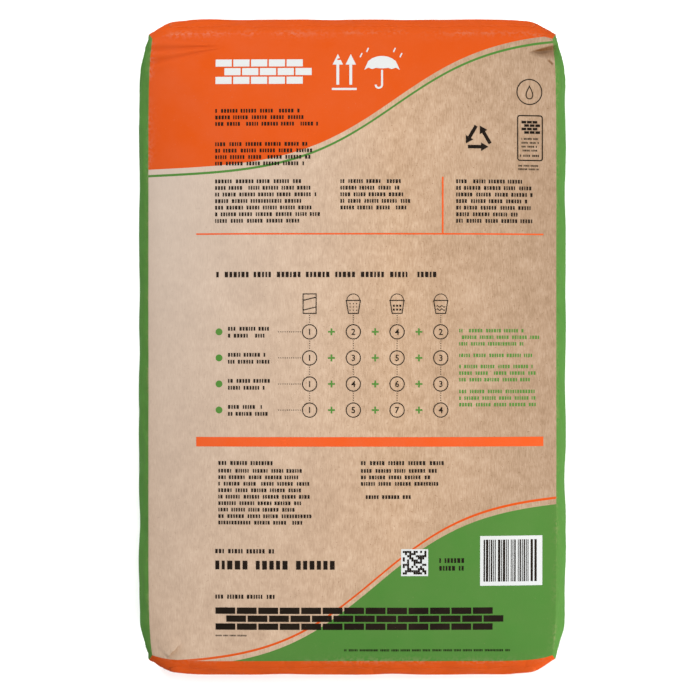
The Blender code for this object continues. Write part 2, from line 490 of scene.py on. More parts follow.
def panel_relief(run, z, to_edge, to_crease, seed):
    """How far a side or an end stands off its smooth swell."""
    upper = z > PANEL_MIDDLE
    right = run > 0
    height = puckers(run, to_crease, seed + 2 + upper)
    height += corner_folds(to_edge, to_crease, seed + 4 + upper + 2 * right)
    for i, (most, length, tall) in enumerate(PANEL_WAVES):
        height += most * waves(run / length, z / tall, 1, seed + i)
    return height * liveliness(z, to_edge)


def kept_inside(height, room):
    """A height held back where it would stand out past the panel's widest line, room away."""
    return height - HELD_BACK * max(0.0, height - room)


def edge_dent(x, y, z, to_edge, to_crease):
    """How far an upright edge is pressed in, towards the sack's middle. The mouth stiffens its own edge."""
    most = EDGE_DENT * (MOUTH_STIFFENS if x > 0 and y > 0 else 1.0)
    dent = most * abs(waves(z / EDGE_DENT_SIZE, 0.4, 1, 11 + 2 * (x > 0) + 4 * (y > 0))) * liveliness(z, 40)
    return dent * math.exp(-to_edge / EDGE_DENT_REACH) * eased(to_crease / 22)


def end_flaps(z, to_side, to_crease):
    """The end's pasted flaps: folded over the corner triangles, and overlapping along the middle."""
    flaps = eased((to_side - to_crease) / 3 + 0.5)
    overlap = eased((FLAP_OVERLAP + 1.5 - abs(z - PANEL_MIDDLE)) / 3) * eased((to_side - 8) / 40)
    return FLAP_STEP * (flaps + overlap) * eased(to_crease / 4)


def facing(amount):
    """How far a point belongs to the panel that its normal faces this much."""
    return eased((amount - 0.3) / 0.4)


def relieve(mesh):
    """Gives the sack its relief and folds, and notes its painted fold shade and its dirt by the floor."""
    places = []
    shade_and_marks = []
    for vert in mesh.vertices:
        normal = vert.normal
        x, y, z = vert.co / MM
        to_side = max(0.0, HALF_WIDTH / MM - abs(x))
        to_end = max(0.0, HALF_LENGTH / MM - abs(y))
        to_crease = max(0.0, min(TOP_CREASE / MM - z, z - BOTTOM_CREASE / MM))
        back = facing(normal.z)
        front = facing(-normal.z)
        side = (1 - back - front) * eased((abs(normal.x) - abs(normal.y)) / 0.4 + 0.5)
        end = (1 - back - front) - side
        height = back * back_relief(x, y, to_side, to_end) if back else 0.0
        if side > 0:
            widest = sack_point(1, min(1.0, abs(vert.co.y) / HALF_LENGTH), 0).x / MM
            relief = panel_relief(y, z, to_end, to_crease, 20 + 20 * (x > 0))
            height += side * kept_inside(relief, widest - abs(x))
        if end > 0:
            widest = sack_point(min(1.0, abs(vert.co.x) / HALF_WIDTH), 1, 0).y / MM
            relief = panel_relief(x, z, to_side, to_crease, 60 + 20 * (y > 0)) * eased(to_crease / 10)
            height += end * (end_flaps(z, to_side, to_crease) + kept_inside(relief, widest - abs(y)))
        crease = sorted((to_side, to_end, to_crease))[1]
        place = vert.co + normal * height * (0.3 + 0.7 * eased(crease / 7)) * MM
        dent = edge_dent(x, y, z, math.hypot(to_side, to_end), to_crease) * MM
        place -= Vector((math.copysign(dent, x), math.copysign(dent, y), 0))
        if z > FOLDS_ABOVE:
            folds = fan(x, y) + tuck(x, y) + notch(x, y) + corner_fold(x, y)
            fading = math.exp(min(0.0, z - TOP_CREASE / MM) / 12)
            place.z += (folds - shoulder(to_side, to_end)) * fading * MM
        place.z = max(place.z, LOW.z)
        places.append(place)
        shade_and_marks.append(grime(x, y, to_side) * fading if z > FOLDS_ABOVE else floor_grime(x, y, z))
    for vert, place in zip(mesh.vertices, places):
        vert.co = place
    mesh.attributes.new("grime", "FLOAT", "POINT").data.foreach_set("value", shade_and_marks)
    mesh.update()


def refine(mesh, spot, reach, cuts):
    """Cuts the mesh of the back face finer around a fold."""
    fine = bmesh.new()
    fine.from_mesh(mesh)
    inside = {
        vert
        for vert in fine.verts
        if vert.co.z > FOLDS_ABOVE * MM and (vert.co.xy / MM - Vector(spot)).length < reach
    }
    edges = [edge for edge in fine.edges if inside.issuperset(edge.verts)]
    bmesh.ops.subdivide_edges(fine, edges=edges, cuts=cuts, use_grid_fill=True)
    fine.to_mesh(mesh)
    fine.free()


# The skin is finer around the folds, and it has no faces where the valve's mouth is. It carries how much of
# its ink is rubbed off along the creases, which is least on those of the back face.
REFINED = (((176, 273), 21, 2), ((-169, -284), 15, 2), ((-150, 275), 45, 1))
FACE, SIDE, END, INSIDE = range(4)
CREASE_RUB = 2.6 * MM
KEPT_AT_TOP = 0.88
skin = cut_cube([crowded_lines(strips) for strips in STRIPS])
mouth_line = 1 - MOUTH_WIDTH / HALF_LENGTH
mouth = []
for face in skin.faces:
    middle = face.calc_center_median()
    face.material_index = SIDE if abs(middle.x) > ON_PANEL else END if abs(middle.y) > ON_PANEL else FACE
    if middle.x > ON_PANEL and middle.y > mouth_line and abs(middle.z) < MOUTH_SHARE:
        mouth.append(face)
rub = skin.verts.layers.float.new("rub")
for vert in skin.verts:
    vert[rub] = math.exp(-crease_distance(vert.co) / CREASE_RUB) * (1 - KEPT_AT_TOP * eased(vert.co.z - 0.3))
    vert.co = sack_point(*vert.co) + buckle(vert.co)
bmesh.ops.delete(skin, geom=mouth, context="FACES")
sack = made_object("sack", skin)
round_creases(sack)
for region in REFINED:
    refine(sack.data, *region)
relieve(sack.data)
outer_skin = put_in_scene("outer_skin", sack.data.copy())


def linear(hex_colour):
    """An sRGB hex colour as linear RGBA."""
    parts = [int(hex_colour[i : i + 2], 16) / 255 for i in (1, 3, 5)]
    return tuple(c / 12.92 if c <= 0.04045 else ((c + 0.055) / 1.055) ** 2.4 for c in parts) + (1,)


def add(tree, kind, inputs=(), **settings):
    """Adds a node with its settings, fills or links its inputs, given in order or by name, and returns its
    outputs."""
    node = tree.nodes.new(kind)
    for name, value in settings.items():
        setattr(node, name, value)
    for key, value in inputs.items() if isinstance(inputs, dict) else enumerate(inputs):
        if isinstance(value, bpy.types.NodeSocket):
            tree.links.new(value, node.inputs[key])
        else:
            node.inputs[key].default_value = value
    return node.outputs


def new_material(name):
    """A material with only its Principled shader and output, its tree and its shader."""
    made = bpy.data.materials.new(name)
    made.use_nodes = True
    return made, made.node_tree, made.node_tree.nodes["Principled BSDF"]


# Unbleached softwood kraft, made on a paper machine: long fibres that lie along the tube show as fine
# streaks, formation shows as faint clouds, and bark specks as dark flecks. The fibres are about 0.04 mm
# wide, so the streaks stand for bundles, drawn coarse enough to show. Handling leaves flat facets about
# 30 mm wide in the stiff paper of the sides and ends, with hair creases between them.
KRAFT = "#a2876e"
KRAFT_DARK = "#8b7057"
KRAFT_PALE = "#b59c84"
KRAFT_FLECK = "#74563b"
STREAK = (1.0 * MM, 5.5 * MM)
STREAK_RELIEF = 0.03 * MM
CLOUD = 9 * MM
CLOUD_SHARE = 0.425
BROAD_CLOUD = 60 * MM
BROAD_CLOUD_SHARE = 0.2
FLECK = 1.7 * MM
FLECK_STRENGTH = 0.55
COCKLE = 15 * MM
COCKLE_RELIEF = 0.12 * MM
FACET = 34 * MM
HAIR_CREASE = 0.2 * MM
HANDLED_PATCH = 80 * MM
NOISE_ROUGHNESS = 0.55


def patches(tree, size, levels, result=(0.0, 1.0), detail=2.0):
    """Soft patches of about this size: a noise that gives one value below its first level, and the other
    above its second."""
    place = add(tree, "ShaderNodeTexCoord")["Object"]
    settings = {"Vector": place, "Scale": 1 / size, "Detail": detail, "Roughness": NOISE_ROUGHNESS}
    noise_value = add(tree, "ShaderNodeTexNoise", settings)[0]
    return add(tree, "ShaderNodeMapRange", (noise_value, *levels, *result))[0]


def kraft_surface(tree, grain=(0, 1, 1), crumple=0.0):
    """Kraft paper: its colour, and its height in metres. grain is 1 for the axes its fibres run along, and
    crumple is the slope of the small flat facets that handling leaves in it."""
    place = add(tree, "ShaderNodeTexCoord")["Object"]
    stretch = tuple(1 / STREAK[axis] for axis in grain)
    along_grain = add(tree, "ShaderNodeMapping", {"Vector": place, "Scale": stretch})[0]
    noises = []
    for vector, size, detail in (
        (along_grain, 1.0, 3.0),
        (place, CLOUD, 4.0),
        (place, BROAD_CLOUD, 2.0),
        (place, COCKLE, 2.0),
    ):
        settings = {"Vector": vector, "Scale": 1 / size, "Detail": detail, "Roughness": NOISE_ROUGHNESS}
        noises.append(add(tree, "ShaderNodeTexNoise", settings)[0])
    streaks, clouds, broad_clouds, cockle = noises
    tone = add(tree, "ShaderNodeMix", {0: CLOUD_SHARE, 2: streaks, 3: clouds})[0]
    tone = add(tree, "ShaderNodeMix", {0: BROAD_CLOUD_SHARE, 2: tone, 3: broad_clouds})[0]
    shades = add(tree, "ShaderNodeValToRGB", (tone,))[0]
    ramp = shades.node.color_ramp.elements
    ramp[0].color, ramp[0].position = linear(KRAFT_DARK), 0.3
    ramp[1].color, ramp[1].position = linear(KRAFT_PALE), 0.7
    ramp.new(0.5).color = linear(KRAFT)
    flecks = patches(tree, FLECK, (0.68, 0.76), (0.0, FLECK_STRENGTH), 1.0)
    mixed = {0: flecks, 6: shades, 7: linear(KRAFT_FLECK)}
    colour = add(tree, "ShaderNodeMix", mixed, data_type="RGBA")[2]
    reliefs = [(streaks, STREAK_RELIEF), (cockle, COCKLE_RELIEF)]
    if crumple:
        stray = add(tree, "ShaderNodeTexNoise", {"Vector": place, "Scale": 1 / FACET, "Detail": 2.0})[1]
        half = (FACET / 2, FACET / 2, FACET / 2)
        bent = add(tree, "ShaderNodeVectorMath", (stray, half, place), operation="MULTIPLY_ADD")[0]
        settings = {"Vector": bent, "Scale": 1 / FACET}
        facets = add(tree, "ShaderNodeTexVoronoi", settings, feature="DISTANCE_TO_EDGE")["Distance"]
        grooves = add(tree, "ShaderNodeMapRange", (facets, 0.0, 0.06, 0.0, HAIR_CREASE))[0]
        reliefs += [(facets, crumple * FACET), (patches(tree, HANDLED_PATCH, (0.4, 0.6)), grooves)]
    height = 0.0
    for relief, size in reliefs:
        height = add(tree, "ShaderNodeMath", (relief, size, height), operation="MULTIPLY_ADD")[0]
    return colour, height


# Flexographic ink, pressed on the paper from a rubber plate: even and matt, a little thinner in soft
# patches, with pinholes where the paper was rough. Rubbed creases let the paper through in specks.
ORANGE_INK = "#b1430f"
GREEN_INK = "#3f6a2c"
# The sides' green is the same ink painted lighter than on the back face: painted light on the upright sides.
SIDE_GREEN_PAINTED_LIGHTER = "#467333"
PINHOLE = 1.1 * MM
PINHOLE_COVER = 0.6
LAYDOWN = 30 * MM
RUB_PATCH = 30 * MM
RUB_SPECK = 3 * MM
RUBBED_OFF = 0.75


def inked(tree, ink, paper, amount=1.0, thin=0.03):
    """The colour of ink over paper, where amount says how much of the ink there is."""
    cover = patches(tree, PINHOLE, (0.16, 0.24), (PINHOLE_COVER, 1.0), 1.0)
    worn = add(tree, "ShaderNodeAttribute", attribute_name="rub")["Fac"]
    worn = patches(tree, RUB_PATCH, (0.4, 0.6), (0.0, worn), 3.0)
    worn = patches(tree, RUB_SPECK, (0.42, 0.56), (0.0, worn), 3.0)
    laydown = patches(tree, LAYDOWN, (0.3, 0.7), (1 - thin, 1.0), 3.0)
    cover = add(tree, "ShaderNodeMath", (cover, laydown), operation="MULTIPLY")[0]
    cover = add(tree, "ShaderNodeMath", (worn, -RUBBED_OFF, cover), operation="MULTIPLY_ADD")[0]
    cover = add(tree, "ShaderNodeMath", (cover, amount), operation="MULTIPLY")[0]
    return add(tree, "ShaderNodeMix", {0: cover, 6: paper, 7: linear(ink)}, data_type="RGBA")[2]


def tinted(tree, amount, colour, shade):
    """A colour made darker or paler by as much as this shade of kraft differs from the plain one."""
    gain = [part / plain for part, plain in zip(linear(shade), linear(KRAFT))]
    settings = {0: amount, 6: colour, 7: gain}
    return add(tree, "ShaderNodeMix", settings, data_type="RGBA", blend_type="MULTIPLY")[2]


def finish_paper(tree, shader, colour, height, roughness, gloss=0.04):
    """Gives a shader its colour, the bumps of this height and its gloss."""
    normal = add(tree, "ShaderNodeBump", {"Height": height, "Strength": 0.7, "Distance": 1.0})[0]
    tree.links.new(colour, shader.inputs["Base Color"])
    tree.links.new(normal, shader.inputs["Normal"])
    shader.inputs["Roughness"].default_value = roughness
    shader.inputs["Specular IOR Level"].default_value = gloss


# The print: an orange field over the top and a green one over the bottom, each with an edge that climbs
# from left to right in one wave, and a thin line of the other colour that follows it.
HEADER = (230 * MM, 66 * MM, 40 * MM)
FOOTER = (-222 * MM, 80 * MM, 20 * MM)
WAVE_LENGTH = 95 * MM
LINE_GAP = 6 * MM
LINE_WIDTH = 2.2 * MM
PRINT_EDGE = 0.12 * MM

# The kraft of the back face is paler and greyer towards its top left, which is a painted sheen, and browner
# towards the right. Painted shade darkens its folds and the strips beside its sides, and dirt its lower
# edges.
KRAFT_PAINTED_SHEEN = "#aa9e94"
SHEEN_OVER = (40 * MM, -200 * MM)
SHEEN_AT_BOTTOM = 0.3
KRAFT_BROWNER = "#7f6a57"
BROWNER_OVER = (40 * MM, 190 * MM)
BROWNER_MOST = 0.6
# Painted shade in the folds and dirt by the floor darken the kraft towards this colour.
KRAFT_SHADED_AND_MARKED = "#75502e"

back_paper, tree, shader = new_material("kraft_paper_printed_in_waves")
paper, height = kraft_surface(tree)
place = add(tree, "ShaderNodeSeparateXYZ", (add(tree, "ShaderNodeTexCoord")["Object"],))
# A painted sheen pales and greys the kraft towards the top left.
shade = add(tree, "ShaderNodeMapRange", (place["X"], *SHEEN_OVER))[0]
upwards = add(tree, "ShaderNodeMapRange", (place["Y"], -HALF_LENGTH, HALF_LENGTH, SHEEN_AT_BOTTOM, 1.0))[0]
painted_sheen = add(tree, "ShaderNodeMath", (shade, upwards), operation="MULTIPLY")[0]
paper = add(tree, "ShaderNodeMix", {0: painted_sheen, 6: paper, 7: linear(KRAFT_PAINTED_SHEEN)}, data_type="RGBA")[2]
browner = add(tree, "ShaderNodeMapRange", (place["X"], *BROWNER_OVER, 0.0, BROWNER_MOST))[0]
paper = tinted(tree, browner, paper, KRAFT_BROWNER)
is_back = add(tree, "ShaderNodeMapRange", (place["Z"], TOP_CREASE * 0.4, TOP_CREASE * 0.5))[0]
fields = []
lines = []
for (middle, rise, turn), side in ((HEADER, 1), (FOOTER, -1)):
    run = add(tree, "ShaderNodeMapRange", (place["X"], turn, turn + WAVE_LENGTH), clamp=False)[0]
    climb = add(tree, "ShaderNodeMath", (run,), operation="TANH")[0]
    edge = add(tree, "ShaderNodeMath", (climb, rise, middle), operation="MULTIPLY_ADD")[0]
    past = add(tree, "ShaderNodeMath", (place["Y"], edge), operation="SUBTRACT")[0]
    past = add(tree, "ShaderNodeMath", (past, side), operation="MULTIPLY")[0]
    fields.append(add(tree, "ShaderNodeMapRange", (past, -PRINT_EDGE, PRINT_EDGE, 0.0, is_back))[0])
    past = add(tree, "ShaderNodeMath", (past, LINE_GAP), operation="ADD")[0]
    past = add(tree, "ShaderNodeMath", (past,), operation="ABSOLUTE")[0]
    half = LINE_WIDTH / 2
    steps = (past, half + PRINT_EDGE, half - PRINT_EDGE, 0.0, is_back)
    lines.append(add(tree, "ShaderNodeMapRange", steps)[0])
colour = paper
for ink, field, line in ((ORANGE_INK, fields[0], lines[1]), (GREEN_INK, fields[1], lines[0])):
    drawn = add(tree, "ShaderNodeMath", (field, line), operation="MAXIMUM")[0]
    colour = inked(tree, ink, colour, drawn)
# The mesh notes painted shade in the folds and dirt by the floor, which darken the print.
shade_and_marks_amount = add(tree, "ShaderNodeAttribute", attribute_name="grime")["Fac"]
finish_paper(tree, shader, tinted(tree, shade_and_marks_amount, colour, KRAFT_SHADED_AND_MARKED), height, roughness=0.75)


def printed_paper(name, ink, thin=0.03, roughness=0.85, gloss=0.01, **surface):
    """Kraft printed all over in one ink, and darkened where its mesh asks for painted shade and floor dirt.
    """
    made, tree, shader = new_material(name)
    paper, height = kraft_surface(tree, **surface)
    shade_and_marks_amount = add(tree, "ShaderNodeAttribute", attribute_name="grime")["Fac"]
    colour = tinted(tree, shade_and_marks_amount, inked(tree, ink, paper, thin=thin), KRAFT_SHADED_AND_MARKED)
    finish_paper(tree, shader, colour, height, roughness, gloss)
    return made


END_CRUMPLE = 0.09
SIDE_CRUMPLE = 0.12
side_paper = printed_paper("kraft_paper_printed_green", SIDE_GREEN_PAINTED_LIGHTER, grain=(1, 1, 0), crumple=SIDE_CRUMPLE)
end_paper = printed_paper("kraft_paper_printed_orange", ORANGE_INK, crumple=END_CRUMPLE)
plain_paper, tree, shader = new_material("kraft_paper_plain")
finish_paper(tree, shader, *kraft_surface(tree), roughness=0.8)

for finish in (back_paper, side_paper, end_paper, plain_paper):
    sack.data.materials.append(finish)
wall = sack.modifiers.new("paper wall", "SOLIDIFY")
wall.thickness = PAPER_WALL
wall.offset = -1
wall.material_offset = INSIDE
wall.material_offset_rim = INSIDE
settle(sack)
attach(sack, "root")
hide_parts("paper_sack")


# The cement
# Portland cement, a grey powder as fine as flour. It fills the sack, packed hard by the pallet, and takes
# the form of the paper around it, with a bed along the top end where the valve's sleeve lies.

CEMENT_STRIPS = (30, 44, 8)
CEMENT_INSET = 3 * MM
CREASE_ROOM = 3 * MM
CREASE_ROOM_REACH = 12 * MM
BED_START = 52 * MM
BED_DEPTH = 3 * MM
BED_SHARE = 0.9
CEMENT_DENT = (180, 273)
CEMENT_DENT_REACH = 30
CEMENT_DENT_DEPTH = 7 * MM
cement_skin = cut_cube([crowded_lines(strips) for strips in CEMENT_STRIPS])
insets = {}
for vert in cement_skin.verts:
    shares = vert.co.copy()
    vert.co = sack_point(*shares)
    on_bed = shares.y > ON_PANEL and abs(shares.z) < BED_SHARE and vert.co.x > BED_START
    at_edge = CREASE_ROOM * math.exp(-crease_distance(shares) / CREASE_ROOM_REACH)
    insets[vert.index] = CEMENT_INSET + at_edge + (BED_DEPTH if on_bed else 0.0)
cement_skin.normal_update()
moves = {vert: vert.co - vert.normal * insets[vert.index] for vert in cement_skin.verts}
for vert, moved in moves.items():
    vert.co = moved
cement = made_object("cement", cement_skin)
round_creases(cement)

# The powder dents under the tuck, is slightly uneven all over, and stays clear of the paper everywhere.
paper_faces = BVHTree.FromObject(outer_skin, bpy.context.evaluated_depsgraph_get())
for vert in cement.data.vertices:
    x, y, z = vert.co / MM
    vert.co += vert.normal * MM * (0.3 * waves(x, y, 30, z / 30) - 0.2)
    if z > FOLDS_ABOVE:
        to_tuck = math.hypot(x - CEMENT_DENT[0], y - CEMENT_DENT[1])
        vert.co.z -= CEMENT_DENT_DEPTH * bell(to_tuck, 0, CEMENT_DENT_REACH)
    for _ in range(3):
        nearest, outwards, _, _ = paper_faces.find_nearest(vert.co)
        room = (nearest - vert.co).dot(outwards)
        if room < CEMENT_INSET:
            vert.co -= outwards * (CEMENT_INSET - room)

# Dry powder scatters light evenly and has no gloss. It looks slightly lumpy where it has caked, and its
# grains are drawn as coarse as sand, so that they show.
CEMENT_GREY = "#7c7b77"
CEMENT_DARK = "#6b6a66"
LUMP = 24 * MM
GRAIN = 0.8 * MM
GRAIN_RELIEF = 0.15 * MM
powder, tree, shader = new_material("portland_cement_powder")
tones = {0: patches(tree, LUMP, (0.3, 0.7), detail=4.0), 6: linear(CEMENT_DARK), 7: linear(CEMENT_GREY)}
colour = add(tree, "ShaderNodeMix", tones, data_type="RGBA")[2]
grains = patches(tree, GRAIN, (0.0, 1.0), (0.0, GRAIN_RELIEF), 3.0)
finish_paper(tree, shader, colour, grains, roughness=0.95)
cement.data.materials.append(powder)
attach(cement, "root")
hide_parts("cement_fill")


# What is laid on the sack
# The cover sheets, the valve's sleeve and every printed mark follow the paper. They are drawn flat, and
# this tree drops each point straight onto the sack, keeping its own height above the flat drawing.


def new_tree(name, inputs):
    """A Geometry Nodes tree with a geometry in and out and these named inputs, and its input sockets."""
    tree = bpy.data.node_groups.new(name, "GeometryNodeTree")
    tree.interface.new_socket("Geometry", in_out="INPUT", socket_type="NodeSocketGeometry")
    tree.interface.new_socket("Geometry", in_out="OUTPUT", socket_type="NodeSocketGeometry")
    for label, kind in inputs.items():
        tree.interface.new_socket(label, in_out="INPUT", socket_type="NodeSocket" + kind)
    return tree, add(tree, "NodeGroupInput")


def end_tree(tree, geometry, material):
    """Ends a tree with its instances made real and its material set."""
    real = add(tree, "GeometryNodeRealizeInstances", (geometry,))[0]
    finished = add(tree, "GeometryNodeSetMaterial", {"Geometry": real, "Material": material})[0]
    add(tree, "NodeGroupOutput", (finished,))


def run_tree(obj, tree, values):
    """Gives the object this tree with these input values, and keeps what it makes as a plain mesh."""
    modifier = obj.modifiers.new(tree.name, "NODES")
    modifier.node_group = tree
    for item in tree.interface.items_tree:
        if item.in_out == "INPUT" and item.name in values:
            modifier[item.identifier] = values[item.name]
    settle(obj)


START_HEIGHT = 0.5
needs = {"Sack": "Object", "Up": "Vector", "Lift": "Float", "Material": "Material"}
laying, given = new_tree("laid_on_sack", needs)
up = given["Up"]
flat = add(laying, "GeometryNodeInputPosition")[0]
own_height = add(laying, "ShaderNodeVectorMath", (flat, up), operation="DOT_PRODUCT")[1]
above = add(laying, "ShaderNodeMath", (START_HEIGHT, own_height), operation="SUBTRACT")[0]
climb = add(laying, "ShaderNodeVectorMath", {0: up, "Scale": above}, operation="SCALE")[0]
start = add(laying, "ShaderNodeVectorMath", (flat, climb), operation="ADD")[0]
down = add(laying, "ShaderNodeVectorMath", {0: up, "Scale": -1.0}, operation="SCALE")[0]
target = add(laying, "GeometryNodeObjectInfo", {"Object": given["Sack"]})["Geometry"]
ray = {"Target Geometry": target, "Source Position": start, "Ray Direction": down, "Ray Length": 1.0}
hit = add(laying, "GeometryNodeRaycast", ray)
lift = add(laying, "ShaderNodeMath", (given["Lift"], own_height), operation="ADD")[0]
step = add(laying, "ShaderNodeVectorMath", {0: hit["Hit Normal"], "Scale": lift}, operation="SCALE")[0]
landed = add(laying, "ShaderNodeVectorMath", (hit["Hit Position"], step), operation="ADD")[0]
moved = add(laying, "GeometryNodeSetPosition", {"Geometry": given["Geometry"], "Position": landed})[0]
end_tree(laying, moved, given["Material"])


def lay_on_sack(name, art, up, lift, thickness, finish):
    """Makes a piece of a flat drawing: lays it on the sack and gives it its thickness."""
    bmesh.ops.remove_doubles(art, verts=art.verts[:], dist=0.01 * MM)
    piece = made_object(name, art)
    run_tree(piece, laying, {"Sack": outer_skin, "Up": up, "Lift": lift, "Material": finish})
    sheet = piece.modifiers.new("thickness", "SOLIDIFY")
    sheet.thickness = thickness
    sheet.offset = -1
    settle(piece)
    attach(piece, "root")
    return piece


# The end patches
# A cover sheet of printed kraft is pasted over the folded flaps of each end. It stops short of the
# creases, with its corners cut round.

PATCH_SHARE_ACROSS = 0.905
PATCH_SHARE_UP = 0.77
PATCH_LIFT = 0.2 * MM
PATCH_THICKNESS = 0.12 * MM
PATCH_EDGE_PRESS = 0.07 * MM
PATCH_CORNER = 7 * MM
PATCH_CELLS = (120, 30)
PATCH_CROWDING = 0.9


def patch_sheet(side):
    """The flat cover sheet of one end, as a grid in the XZ plane with rounded corners and rubbed edges."""
    art = bmesh.new()
    rub = art.verts.layers.float.new("rub")
    half_across = PATCH_SHARE_ACROSS * HALF_WIDTH
    half_up = PATCH_SHARE_UP * HALF_HEIGHT
    rows = []
    for share_up in crowded_lines(PATCH_CELLS[1], PATCH_CROWDING):
        up = share_up * half_up
        in_corner = max(0.0, abs(up) - (half_up - PATCH_CORNER))
        reach = half_across - PATCH_CORNER + math.sqrt(max(0.0, PATCH_CORNER**2 - in_corner**2))
        row = []
        for i in range(PATCH_CELLS[0] + 1):
            across = 2 * i / PATCH_CELLS[0] - 1
            pressed = PATCH_EDGE_PRESS if 1 in (abs(across), abs(share_up)) else 0.0
            vert = art.verts.new((-side * across * reach, -side * pressed, MIDDLE_HEIGHT + up))
            from_edge = min(reach - abs(vert.co.x), half_up - abs(up))
            vert[rub] = math.exp(-from_edge / CREASE_RUB) * (1 - KEPT_AT_TOP * eased(share_up))
            row.append(vert)
        rows.append(row)
    join_rows(art, rows)
    return art


patch_paper = printed_paper("kraft_cover_sheet_printed_orange", ORANGE_INK, crumple=END_CRUMPLE)
for name, node, side in (("top_patch", "top_end_patch", 1), ("bottom_patch", "bottom_end_patch", -1)):
    patch = lay_on_sack(name, patch_sheet(side), (0, side, 0), PATCH_LIFT, PATCH_THICKNESS, patch_paper)
    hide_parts(node)


# The valve's sleeve
# A flattened tube of kraft that lies inside the top end, from its middle to the mouth in the corner. The
# powder presses it shut once the sack is off the filling spout.

SLEEVE_START = 60 * MM
SLEEVE_END = HALF_WIDTH + 0.2 * MM
SLEEVE_HALF_HEIGHT = 33 * MM
SLEEVE_HALF_DEPTH = 0.8 * MM
SLEEVE_DEPTH = 2.0 * MM
SLEEVE_WALL = 0.35 * MM
SLEEVE_RINGS = 60
SLEEVE_SIDES = 48
sleeve_art = bmesh.new()
rings = []
for i in range(SLEEVE_RINGS + 1):
    x = SLEEVE_START + (SLEEVE_END - SLEEVE_START) * i / SLEEVE_RINGS
    ring = []
    for j in range(SLEEVE_SIDES):
        turn = 2 * math.pi * j / SLEEVE_SIDES
        up = MIDDLE_HEIGHT + SLEEVE_HALF_HEIGHT * math.cos(turn)
        ring.append(sleeve_art.verts.new((x, SLEEVE_HALF_DEPTH * math.sin(turn), up)))
    rings.append(ring + ring[:1])
join_rows(sleeve_art, rings)
sleeve = lay_on_sack("sleeve", sleeve_art, (0, 1, 0), -SLEEVE_DEPTH, SLEEVE_WALL, plain_paper)
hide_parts("valve_sleeve")


# The printed marks
# Plain rules, rows of small blocks, bricks and signs, printed from rubber plates in four inks. Each ink is
# a film that lies on the paper, drawn flat first, in millimetres from the middle of the back face.

PRINT_CELL = 4.0
INK_THICKNESS = 0.04 * MM
INK_ROUGHNESS = 0.6
INK_GLOSS = 0.04
WHITE_LIFT = 0.10 * MM
COLOUR_LIFT = 0.12 * MM
BLACK_LIFT = 0.18 * MM


def stroke(art, points, width, closed=False):
    """Draws a line of even width through the points, in pieces short enough to lie on the paper."""
    corners = [Vector(point) for point in points]
    line = []
    for start, end in zip(corners, corners[1:] + corners[:1] if closed else corners[1:]):
        pieces = max(1, math.ceil((end - start).length / PRINT_CELL))
        line += [start.lerp(end, piece / pieces) for piece in range(pieces)]
    if not closed:
        line.append(corners[-1])
    edges = []
    for i, point in enumerate(line):
        behind = line[i - 1] if closed or i else point
        ahead = line[(i + 1) % len(line)] if closed or i + 1 < len(line) else point
        before = (point - behind).normalized()
        after = (ahead - point).normalized()
        along = (before + after).normalized()
        mitre = Vector((-along.y, along.x)) / max(0.5, along.dot(after if ahead != point else before))
        left, right = point + mitre * width / 2, point - mitre * width / 2
        edges.append([art.verts.new((*(spot * MM), 0)) for spot in (right, left)])
    for near, far in zip(edges, edges[1:] + edges[:1] if closed else edges[1:]):
        art.faces.new((near[0], far[0], far[1], near[1]))


def fill(art, left, right, low, high):
    """Fills the area between two heights, which are numbers or functions of x, in small cells."""
    columns = max(1, math.ceil((right - left) / PRINT_CELL))
    low_at = low if callable(low) else lambda x: low
    high_at = high if callable(high) else lambda x: high
    steps = [left + (right - left) * i / columns for i in range(columns + 1)]
    rows = max(1, math.ceil(max(high_at(x) - low_at(x) for x in steps) / PRINT_CELL))
    grid = []
    for x in steps:
        ys = [low_at(x) + (high_at(x) - low_at(x)) * j / rows for j in range(rows + 1)]
        grid.append([art.verts.new((x * MM, y * MM, 0)) for y in ys])
    for near, far in zip(grid, grid[1:]):
        for a, b, c, d in zip(near, far, far[1:], near[1:]):
            art.faces.new((a, b, c, d))


def arc(middle, radius, start=0.0, end=360.0, steps=36):
    """Points along an arc, its angles in degrees; a whole ring leaves its last point out."""
    count = steps if end - start == 360 else steps + 1
    turns = [math.radians(start + (end - start) * i / steps) for i in range(count)]
    return [(middle[0] + radius * math.cos(t), middle[1] + radius * math.sin(t)) for t in turns]


def shape(art, outline):
    """Fills a small outline, given anticlockwise."""
    art.faces.new([art.verts.new((x * MM, y * MM, 0)) for x, y in outline])


def rectangle(left, right, low, high):
    return [(left, low), (right, low), (right, high), (left, high)]


def placed(points, middle, degrees=0):
    """The points turned about their zero point, with that point moved to this middle."""
    cos, sin = math.cos(math.radians(degrees)), math.sin(math.radians(degrees))
    return [(middle[0] + x * cos - y * sin, middle[1] + x * sin + y * cos) for x, y in points]


def place_art(art, mesh, x, y):
    """Adds a flat mesh to a drawing, with its own zero point at this place."""
    known = len(art.verts)
    art.from_mesh(mesh)
    art.verts.ensure_lookup_table()
    for vert in art.verts[known:]:
        vert.co += Vector((x, y, 0)) * MM


